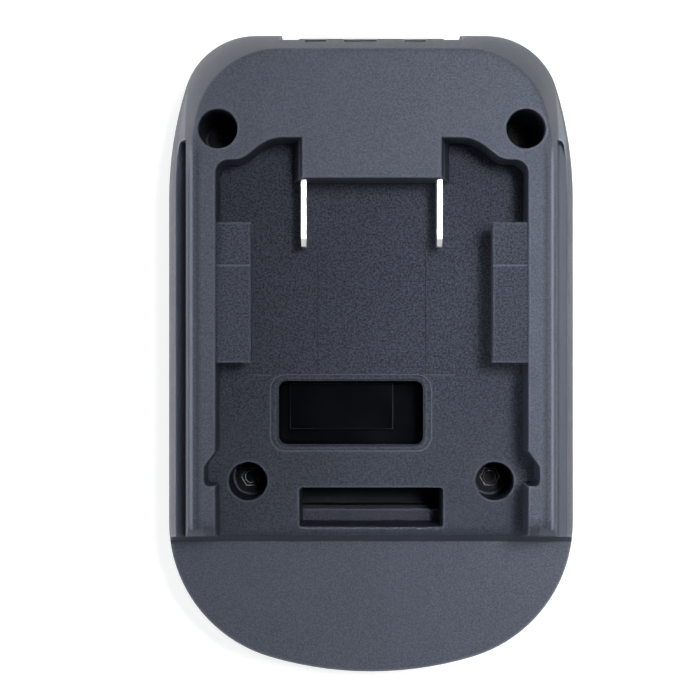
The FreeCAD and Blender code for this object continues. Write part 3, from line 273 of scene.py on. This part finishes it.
def band(tree, value, name):
    """1 inside a named band and 0 outside it, with a soft border."""
    low, high, soft = (size * MM for size in BANDS[name])
    above = ranged(tree, value, low - soft, low + soft, 0.0, 1.0)
    below = ranged(tree, value, high - soft, high + soft, 1.0, 0.0)
    return product(tree, above, below)


shell_plastic, tree, shader = material("blue_grey_shell_plastic")
place = add(tree, "SeparateXYZ", Vector=add(tree, "TexCoord").outputs["Object"]).outputs
sideways = math_node(tree, "ABSOLUTE", place["X"])
in_tray = product(tree, band(tree, place["X"], "tray_x"), band(tree, place["Y"], "tray_y"),
                  band(tree, place["Z"], "tray_z"))
quiet = ramp(tree, place["Y"], "quiet_y", 0.35, 0.0)
# Painted shade: on the tray's floor, from the window back, creases darken more and outer edges hardly lighten,
# so the mould lines read dark.
shaded_floor_lines = product(tree, ramp(tree, place["Z"], "floor_z", 1.0, 0.0),
                   ramp(tree, place["Y"], "lines_y", 0.0, 1.0))
# Painted light: where the scoops in the flanks are lightened, the right one more than the left.
scoop_painted_light = product(tree, band(tree, sideways, "scoop_x"), band(tree, place["Z"], "scoop_z"),
                   ramp(tree, place["X"], "scoop_painted_light_x", 0.1, 0.8))
on_plateau = product(tree, band(tree, place["Y"], "plateau_y"), ramp(tree, place["Z"], "plateau_z", 0.0, 1.0))
# Painted highlight: a pale line along both outer edges of the plateau.
edge_highlight_line = product(tree, band(tree, sideways, "edge_highlight_x"), on_plateau)
# Painted shade: a darker strip just inside that line.
shaded_strip = product(tree, band(tree, sideways, "shaded_strip_x"), on_plateau)
print(len(BANDS), "bands and", len(RAMPS), "ramps in millimetres")

# %% [markdown]
# ## The shell's plastic: tone and wear
#
# The pigment is a dark blue grey. Inside the tray the speckle swings widely between pits and tops, and outside
# it only lightens the tops. Edges go towards a pale grey, partly as the white marks that rubbing leaves on dark
# plastic and partly as a painted highlight, while creases go towards near black as painted shade.

# %% Shell colour
coarse = placed(tree, grain_group, Size_mm=0.32, Depth=1.0).outputs
fine = placed(tree, grain_group, Size_mm=0.29, Depth=0.5).outputs
edge_and_crease = placed(tree, wear_group, Edge_mm=0.5, Crease_mm=0.5).outputs
cloud = placed(tree, cloud_group, Size_mm=16.0).outputs["Amount"]

clouded = mixed_colour(tree, cloud, rgb(0.026, 0.030, 0.047), rgb(0.036, 0.041, 0.062))
outside = mixed_colour(tree, fine["Speckle"], clouded, rgb(0.078, 0.085, 0.115))
inside = mixed_colour(tree, coarse["Speckle"], rgb(0.003, 0.004, 0.010), rgb(0.066, 0.073, 0.106))
inside = mixed_colour(tree, quiet, inside, rgb(0.015, 0.018, 0.029))
grained = mixed_colour(tree, in_tray, outside, inside)
# Painted light: the scoops are lifted towards a pale grey.
grained = mixed_colour(tree, scoop_painted_light, grained, rgb(0.22, 0.24, 0.29))

# Outer edges go pale, partly as wear and partly as a painted highlight; the plateau's edge line is a painted
# highlight.
wear_and_highlight_mask = product(tree, edge_and_crease["Wear and highlight"], ranged(tree, shaded_floor_lines, 0.0, 1.0, 0.7, 0.05))
wear_and_highlight_mask = greatest(tree, wear_and_highlight_mask, product(tree, edge_highlight_line, 0.9))
# Painted shade: creases, the floor's mould lines and the strip inside the plateau's edges go towards near
# black.
painted_shade = product(tree, edge_and_crease["Crease"], ranged(tree, shaded_floor_lines, 0.0, 1.0, 0.35, 0.9))
painted_shade = greatest(tree, painted_shade, product(tree, shaded_strip, 0.6))
wear_and_highlight = mixed_colour(tree, wear_and_highlight_mask, grained, rgb(0.20, 0.22, 0.28))
tree.links.new(mixed_colour(tree, painted_shade, wear_and_highlight, rgb(0.006, 0.008, 0.014)), shader.inputs["Base Color"])
print("shell colour:", len(tree.nodes), "nodes")

# %% [markdown]
# ## The shell's plastic: gloss and relief
#
# The tray scatters a little more than the outside, and the pale edges a little less. Both grains feed one bump,
# each in its own area, on top of the soft edges' normal. The reflection is tinted slightly blue, as the studio
# light in the photograph looks.

# %% Shell gloss and relief
edge = placed(tree, edge_group, Radius_mm=0.28)
smoother = math_node(tree, "MULTIPLY_ADD", cloud, 0.05, 0.37)
rougher = math_node(tree, "MULTIPLY_ADD", in_tray, 0.06, smoother)
tree.links.new(math_node(tree, "MULTIPLY_ADD", wear_and_highlight_mask, -0.12, rougher), shader.inputs["Roughness"])
not_in_tray = math_node(tree, "SUBTRACT", 1.0, in_tray)
grainy = math_node(tree, "SUBTRACT", in_tray, quiet, clamp=True)
relief = math_node(tree, "MULTIPLY_ADD", fine["Height"], not_in_tray, product(tree, coarse["Height"], grainy))
bump = add(tree, "Bump", Strength=1.0, Distance=0.32 * MM, Height=relief, Normal=edge.outputs["Normal"])
tree.links.new(bump.outputs["Normal"], shader.inputs["Normal"])
shader.inputs["Specular IOR Level"].default_value = 0.4
shader.inputs["Specular Tint"].default_value = rgb(0.86, 0.93, 1.0)
print("shell plastic:", len(tree.nodes), "nodes")

# %% [markdown]
# ## Black plastics
#
# The tool side, the terminal holder and the latch are black, glass-filled plastic, and the cover over the
# transistors is the glossy kind. A short function builds them all, because they differ only in tone, gloss
# and how deep the grain is.

# %% Black plastics
def black_plastic(name, pits, tops, roughness, grain_mm, relief_mm, edge_mm, edge_highlight_tone, gloss=0.25):
    """A black plastic: tones of its grain's pits and tops, then its sizes in millimetres."""
    made, tree, shader = material(name)
    grain = placed(tree, grain_group, Size_mm=grain_mm, Depth=1.0)
    edge = placed(tree, edge_group, Radius_mm=edge_mm)
    cloud = placed(tree, cloud_group, Size_mm=12.0)
    tone = mixed_colour(tree, grain.outputs["Speckle"], pits, tops)
    # Edges go towards the edge tone, partly as wear and partly as a painted highlight.
    wear_and_highlight_mask = product(tree, edge.outputs["Edge"], 0.4)
    tree.links.new(mixed_colour(tree, wear_and_highlight_mask, tone, edge_highlight_tone), shader.inputs["Base Color"])
    drift = math_node(tree, "MULTIPLY_ADD", cloud.outputs["Amount"], 0.08, roughness - 0.04)
    tree.links.new(drift, shader.inputs["Roughness"])
    bump = add(tree, "Bump", Strength=0.7, Distance=relief_mm * MM, Height=grain.outputs["Height"],
               Normal=edge.outputs["Normal"])
    tree.links.new(bump.outputs["Normal"], shader.inputs["Normal"])
    shader.inputs["Specular IOR Level"].default_value = gloss
    shader.inputs["Specular Tint"].default_value = rgb(0.84, 0.90, 1.0)
    return made


holder_plastic = black_plastic(
    "black_glass_filled_plastic", rgb(0.0025, 0.0025, 0.004), rgb(0.007, 0.007, 0.010), roughness=0.55,
    grain_mm=0.5, relief_mm=0.05, edge_mm=0.25, edge_highlight_tone=rgb(0.05, 0.05, 0.06), gloss=0.18)
button_plastic = black_plastic(
    "black_button_plastic", rgb(0.012, 0.013, 0.015), rgb(0.021, 0.022, 0.025), roughness=0.45,
    grain_mm=0.35, relief_mm=0.03, edge_mm=0.3, edge_highlight_tone=rgb(0.08, 0.08, 0.09))
# The cover's pale edge tone is a painted highlight.
cover_plastic = black_plastic(
    "glossy_black_cover", rgb(0.001, 0.001, 0.002), rgb(0.002, 0.002, 0.003), roughness=0.12,
    grain_mm=1.4, relief_mm=0.004, edge_mm=0.22, edge_highlight_tone=rgb(0.24, 0.26, 0.30), gloss=0.10)
chip_plastic = black_plastic(
    "moulded_epoxy", rgb(0.010, 0.010, 0.011), rgb(0.018, 0.018, 0.019), roughness=0.55,
    grain_mm=0.2, relief_mm=0.02, edge_mm=0.12, edge_highlight_tone=rgb(0.05, 0.05, 0.05))
print("black plastics:", [m.name for m in (holder_plastic, button_plastic, cover_plastic, chip_plastic)])

# %% [markdown]
# ## Metals
#
# The blades are nickel plated and the clips are bare brass. Sheet metal keeps faint lines along the way it
# was rolled, so the group below stretches a noise texture along one axis and uses it for both roughness and a
# very shallow bump. The stretch runs along Y, the way both the blades and the clips were cut.

# %% Rolled metal group and metals
rolled_group, rolled_in, rolled_out = group(
    "Rolled lines", {"Line mm": 0.12, "Stretch": 30.0}, {"Lines": "Float", "Stain": "Float"})
position = add(rolled_group, "TexCoord").outputs["Object"]
parts_xyz = add(rolled_group, "SeparateXYZ", Vector=position)
squeezed = add(rolled_group, "CombineXYZ", X=parts_xyz.outputs["X"], Z=parts_xyz.outputs["Z"],
               Y=math_node(rolled_group, "DIVIDE", parts_xyz.outputs["Y"], rolled_in.outputs["Stretch"]))
per_metre = math_node(rolled_group, "DIVIDE", 1 / MM, rolled_in.outputs["Line mm"])
lines = add(rolled_group, "TexNoise", Vector=squeezed.outputs[0], Scale=per_metre, Detail=2.0)
stain = add(rolled_group, "TexNoise", Vector=position, Scale=700.0, Detail=3.0)
rolled_group.links.new(lines.outputs["Fac"], rolled_out.inputs["Lines"])
stained = ranged(rolled_group, stain.outputs["Fac"], 0.35, 0.65, 0.0, 1.0)
rolled_group.links.new(stained, rolled_out.inputs["Stain"])


def sheet_metal(name, bright, dull, roughness, line_mm=0.12, stretch=30.0):
    """A bare or plated metal with rolling lines, which also make it rougher and smoother in streaks."""
    made, tree, shader = material(name)
    rolled = placed(tree, rolled_group, Line_mm=line_mm, Stretch=stretch)
    edge = placed(tree, edge_group, Radius_mm=0.12)
    tree.links.new(mixed_colour(tree, rolled.outputs["Stain"], bright, dull), shader.inputs["Base Color"])
    shader.inputs["Metallic"].default_value = 1.0
    streaked = math_node(tree, "MULTIPLY_ADD", rolled.outputs["Lines"], 0.16, roughness - 0.08)
    tree.links.new(streaked, shader.inputs["Roughness"])
    bump = add(tree, "Bump", Strength=0.4, Distance=0.02 * MM, Height=rolled.outputs["Lines"],
               Normal=edge.outputs["Normal"])
    tree.links.new(bump.outputs["Normal"], shader.inputs["Normal"])
    return made


nickel = sheet_metal("nickel_plated_blade", rgb(0.88, 0.87, 0.84), rgb(0.80, 0.79, 0.76), 0.36)
brass = sheet_metal("stamped_brass", rgb(0.80, 0.60, 0.28), rgb(0.68, 0.49, 0.22), 0.32)
spring_wire = sheet_metal("drawn_spring_wire", rgb(0.62, 0.61, 0.58), rgb(0.50, 0.49, 0.46), 0.30, 0.1, 4.0)
can_metal = sheet_metal("drawn_aluminium_can", rgb(0.80, 0.81, 0.82), rgb(0.72, 0.73, 0.75), 0.34, 0.2, 1.0)
print("metals:", [m.name for m in (nickel, brass, spring_wire, can_metal)])

# %% [markdown]
# ## Blackened screws
#
# The case screws are steel with a black oxide skin. The skin is not a bare metal, so it is built like a very
# dark dielectric. The edges of the hexagon go near white, partly as steel that a driver has rubbed bare and
# partly as a painted highlight, and only on the two front screws, whose heads can be seen from above. The
# distance from a front screw's axis keeps the rest of the head dark. The two sides mirror each other, so one
# distance serves both screws.

# %% Black oxide
FRONT_SCREW_X = 22.6 * MM
FRONT_SCREW_Y = -23.3 * MM
HEXAGON_REACH = (1.9 * MM, 2.1 * MM)

black_oxide, tree, shader = material("black_oxide_screw")
grain = placed(tree, grain_group, Size_mm=0.15, Depth=1.0)
edge = placed(tree, edge_group, Radius_mm=0.16)
skin = mixed_colour(tree, grain.outputs["Speckle"], rgb(0.001, 0.001, 0.002), rgb(0.003, 0.003, 0.005))
place = add(tree, "SeparateXYZ", Vector=add(tree, "TexCoord").outputs["Object"]).outputs
sideways = math_node(tree, "SUBTRACT", math_node(tree, "ABSOLUTE", place["X"]), FRONT_SCREW_X)
along = math_node(tree, "SUBTRACT", place["Y"], FRONT_SCREW_Y)
squared = math_node(tree, "ADD", product(tree, sideways, sideways), product(tree, along, along))
at_hexagon = ranged(tree, math_node(tree, "SQRT", squared), *HEXAGON_REACH, 1.0, 0.0)
# Painted highlight and wear: the hexagon edges of the front screws go near white.
wear_and_highlight = product(tree, ranged(tree, edge.outputs["Edge"], 0.35, 0.75, 0.0, 1.0), at_hexagon)
tree.links.new(mixed_colour(tree, wear_and_highlight, skin, rgb(0.85, 0.88, 0.93)), shader.inputs["Base Color"])
duller = math_node(tree, "MULTIPLY_ADD", grain.outputs["Speckle"], 0.1, 0.45)
tree.links.new(duller, shader.inputs["Roughness"])
shader.inputs["Specular IOR Level"].default_value = 0.08
bump = add(tree, "Bump", Strength=0.5, Distance=0.02 * MM, Height=grain.outputs["Height"],
           Normal=edge.outputs["Normal"])
tree.links.new(bump.outputs["Normal"], shader.inputs["Normal"])
print("screw skin:", len(tree.nodes), "nodes")

# %% [markdown]
# ## Board and wires
#
# The board is hidden inside, yet the model holds it, so it gets its green mask, with the copper
# pours below it showing as slightly lighter islands. The wires have plain soft insulation.

# %% Board and wire materials
board_mask, tree, shader = material("green_solder_mask")
islands = add(tree, "TexVoronoi", Vector=add(tree, "TexCoord").outputs["Object"], Scale=260.0,
              distance="MANHATTAN")
pours = ranged(tree, islands.outputs["Distance"], 0.42, 0.46, 0.0, 1.0)
tree.links.new(mixed_colour(tree, pours, rgb(0.015, 0.11, 0.045), rgb(0.025, 0.16, 0.065)),
               shader.inputs["Base Color"])
shader.inputs["Roughness"].default_value = 0.35
shader.inputs["Coat Weight"].default_value = 0.3
tree.links.new(add(tree, "Bump", Strength=0.5, Distance=0.03 * MM, Height=pours).outputs["Normal"],
               shader.inputs["Normal"])


def insulation(name, deep, pale):
    """Soft wire insulation that drifts between two tones."""
    made, tree, shader = material(name)
    cloud = placed(tree, cloud_group, Size_mm=1.5)
    tree.links.new(mixed_colour(tree, cloud.outputs["Amount"], deep, pale), shader.inputs["Base Color"])
    shader.inputs["Roughness"].default_value = 0.45
    bump = add(tree, "Bump", Strength=0.4, Distance=0.02 * MM, Height=cloud.outputs["Amount"])
    tree.links.new(bump.outputs["Normal"], shader.inputs["Normal"])
    return made


red_wire = insulation("red_insulation", rgb(0.35, 0.012, 0.010), rgb(0.48, 0.02, 0.016))
black_wire = insulation("black_insulation", rgb(0.010, 0.010, 0.011), rgb(0.02, 0.02, 0.021))
print("materials so far:", len(bpy.data.materials))

# %% [markdown]
# ## Dressing the nodes
#
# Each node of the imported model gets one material, and its mesh stays as it was packed. A table from node to
# finish is easier to check than a row of assignments, and it shows at once which pieces share a finish.

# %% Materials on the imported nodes
finish_of = {
    "battery_side_shell": shell_plastic, "tool_side_shell": holder_plastic, "terminal_holder": holder_plastic,
    "positive_output_clip": brass, "signal_output_clip": brass, "negative_output_clip": brass,
    "positive_input_blade": nickel, "negative_input_blade": nickel, "blade_retainer": holder_plastic,
    "circuit_board": board_mask, "power_transistors": chip_plastic, "control_chip": chip_plastic,
    "chip_resistors": chip_plastic, "board_capacitor": can_metal, "inner_cover": cover_plastic,
    "case_screws": black_oxide, "board_screws": black_oxide, "retainer_screws": black_oxide,
    "latch_slide": holder_plastic, "latch_button": button_plastic,
    "latch_spring_right": spring_wire, "latch_spring_left": spring_wire,
    "positive_wire": red_wire, "negative_wire": black_wire,
}
for name, finish in finish_of.items():
    mesh = nodes[name].data
    mesh.materials.clear()
    mesh.materials.append(finish)
print("dressed", len(finish_of), "of", len(nodes), "nodes")

# %% [markdown]
# ## Wound latch springs
#
# The imported model stands each latch spring in as a plain tube. The real one is a coil of drawn wire with
# closed ends, so a helix is swept here with mesh code: the pitch is small over the first and last turn and
# even between them.

# %% Latch springs
WIRE = 0.55 * MM
TURNS = 6.5
STEPS = 26
SIDES = 8


def coil(name, low, high):
    """A closed-end compression spring that fills the box between two corners."""
    centre = (low + high) / 2
    sweep = (high.x - low.x) / 2 - WIRE / 2
    bottom, top = low.z + WIRE / 2, high.z - WIRE / 2
    count = int(TURNS * STEPS)
    path = []
    for i in range(count + 1):
        turn = i / STEPS
        closed = min(turn, 1.0) * WIRE + max(turn - TURNS + 1.0, 0.0) * WIRE
        open_turns = min(max(turn - 1.0, 0.0), TURNS - 2.0)
        rise = (top - bottom - 2 * WIRE) / (TURNS - 2.0)
        angle = 2 * math.pi * turn
        path.append(Vector((centre.x + sweep * math.cos(angle), centre.y + sweep * math.sin(angle),
                            bottom + closed + open_turns * rise)))
    form = bmesh.new()
    rings = []
    for i, point in enumerate(path):
        along = (path[min(i + 1, count)] - path[max(i - 1, 0)]).normalized()
        outward = Vector((point.x - centre.x, point.y - centre.y, 0)).normalized()
        upward = along.cross(outward).normalized()
        outward = upward.cross(along)
        rings.append([form.verts.new(point + (outward * math.cos(2 * math.pi * k / SIDES)
                                              + upward * math.sin(2 * math.pi * k / SIDES)) * WIRE / 2)
                      for k in range(SIDES)])
    for first, second in zip(rings, rings[1:]):
        for k in range(SIDES):
            form.faces.new((first[k], first[(k + 1) % SIDES], second[(k + 1) % SIDES], second[k]))
    form.faces.new(rings[0][::-1])
    form.faces.new(rings[-1])
    bmesh.ops.recalc_face_normals(form, faces=form.faces)
    mesh = bpy.data.meshes.new(name)
    form.to_mesh(mesh)
    form.free()
    mesh.materials.append(spring_wire)
    mesh.shade_smooth()
    spring = bpy.data.objects.new(name, mesh)
    bpy.context.collection.objects.link(spring)
    return spring


for side in ("right", "left"):
    node = f"latch_spring_{side}"
    low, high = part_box(node)
    spring = coil(f"wound_spring_{side}", low, high)
    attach(spring, "adapter")
    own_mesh(spring)
    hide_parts(node)
    print(spring.name, len(spring.data.vertices), "vertices")

# %% [markdown]
# ## Camera
#
# The photograph looks straight down on the tray from about half a metre. A long lens at that height gives the
# same small difference in scale between the chin and the higher plateau. A flat orthographic view would hide
# that difference, and a wide lens would overdo it.

# %% Camera
camera_data = bpy.data.cameras.new("camera")
camera_data.lens = 138.9
camera_data.sensor_width = 36.0
camera_data.clip_start = 0.01
camera = bpy.data.objects.new("camera", camera_data)
camera.location = (-0.0039, 0.0007, 0.524)
bpy.context.collection.objects.link(camera)
bpy.context.scene.camera = camera
bpy.context.scene.view_settings.view_transform = "Standard"
print("camera at", [round(v / MM, 1) for v in camera.location], "mm, field of view",
      round(math.degrees(camera_data.angle), 1), "degrees")

# %% [markdown]
# ## Floor
#
# The floor is white paper. Its own grey takes the object's shadow, and a glow that only the camera and clear
# or glossy pieces can see lifts it to white. The glow lights nothing. In reflections it fades out towards the
# right, as the right side of the studio is darker. From below, the paper is left out, so that the tool side can
# be looked at too.

# %% Floor
FLOOR_HALF = 3.0
FLOOR_DROP = 0.2 * MM
GLOW_FADE = (-70.0 * MM, 70.0 * MM)

form = bmesh.new()
bmesh.ops.create_grid(form, x_segments=2, y_segments=2, size=FLOOR_HALF)
floor_mesh = bpy.data.meshes.new("floor")
form.to_mesh(floor_mesh)
form.free()
floor = bpy.data.objects.new("floor", floor_mesh)
floor.location = (0, 0, -FLOOR_DROP)
bpy.context.collection.objects.link(floor)
print("floor:", 2 * FLOOR_HALF, "metres square")

# %% Paper
paper, tree, shader = material("white_paper_floor")
shader.inputs["Base Color"].default_value = rgb(0.5, 0.5, 0.5)
shader.inputs["Roughness"].default_value = 0.9
rays = add(tree, "LightPath").outputs
across = add(tree, "SeparateXYZ", Vector=add(tree, "TexCoord").outputs["Object"]).outputs["X"]
mirrored = product(tree, rays["Is Glossy Ray"], ranged(tree, across, *GLOW_FADE, 0.95, 0.0))
seen = greatest(tree, rays["Is Camera Ray"], mirrored, rays["Is Transmission Ray"])
glow = add(tree, "Emission", Color=rgb(1, 1, 1), Strength=product(tree, seen, 0.72))
both = tree.nodes.new("ShaderNodeAddShader")
tree.links.new(shader.outputs[0], both.inputs[0])
tree.links.new(glow.outputs[0], both.inputs[1])
from_above = tree.nodes.new("ShaderNodeMixShader")
tree.links.new(add(tree, "NewGeometry").outputs["Backfacing"], from_above.inputs[0])
tree.links.new(both.outputs[0], from_above.inputs[1])
tree.links.new(add(tree, "BsdfTransparent").outputs[0], from_above.inputs[2])
tree.links.new(from_above.outputs[0], tree.nodes["Material Output"].inputs["Surface"])
floor_mesh.materials.append(paper)
print("paper:", len(tree.nodes), "nodes")

# %% [markdown]
# ## Lamps
#
# A soft lamp hangs to the right of the camera. A grid in front of it keeps its light on the right half, which
# gives the plateau its drift from dark to light, and it throws the short shadows. Two long strips low at the
# sides graze the flanks and the tray's tabs, the left one much stronger than the right.

# %% Lamps
def soft_lamp(name, shape, size, energy, place, target, spread=180.0):
    """An area lamp at a place, turned to a target. Its spread in degrees stands for a grid in front of it."""
    data = bpy.data.lights.new(name, "AREA")
    data.shape = shape
    data.size = size[0]
    if shape == "RECTANGLE":
        data.size_y = size[1]
    data.energy = energy
    data.spread = math.radians(spread)
    lamp = bpy.data.objects.new(name, data)
    lamp.location = place
    lamp.rotation_euler = (Vector(target) - lamp.location).to_track_quat("-Z", "Y").to_euler()
    bpy.context.collection.objects.link(lamp)
    print(name, energy, "W")
    return lamp


STRIP = (0.60, 0.12)
soft_lamp("softbox", "DISK", (0.18,), 0.32, (0.175, 0.11, 0.90), (0.125, 0.02, 0.03), spread=27.0)
soft_lamp("left_strip", "RECTANGLE", STRIP, 1.10, (-0.52, 0.0, 0.33), (0, 0, 0.03))
soft_lamp("right_strip", "RECTANGLE", STRIP, 0.12, (0.52, 0.0, 0.33), (0, 0, 0.03))

# %% [markdown]
# ## World
#
# The pale room fills the shadows. It is darker overhead, where the camera hangs, and darker to the right. The
# camera sees it as plain white, and reflections see white only low down, near the horizon.

# %% World
world = bpy.data.worlds.new("studio")
bpy.context.scene.world = world
world.use_nodes = True
sky = world.node_tree
background = sky.nodes["Background"]
toward = add(sky, "SeparateXYZ", Vector=add(sky, "TexCoord").outputs["Generated"]).outputs
wall_light = product(sky, ranged(sky, toward["Z"], 0.50, 0.99, 0.57, 0.14),
                     ranged(sky, toward["X"], -0.6, 0.6, 1.0, 0.47))
rays = add(sky, "LightPath").outputs
mirrored = product(sky, rays["Is Glossy Ray"], ranged(sky, toward["Z"], 0.45, 0.75, 1.0, 0.0))
strength = greatest(sky, rays["Is Camera Ray"], rays["Is Transmission Ray"], mirrored, wall_light)
sky.links.new(strength, background.inputs["Strength"])
background.inputs["Color"].default_value = rgb(0.93, 0.97, 1.0)
print("world:", len(sky.nodes), "nodes")
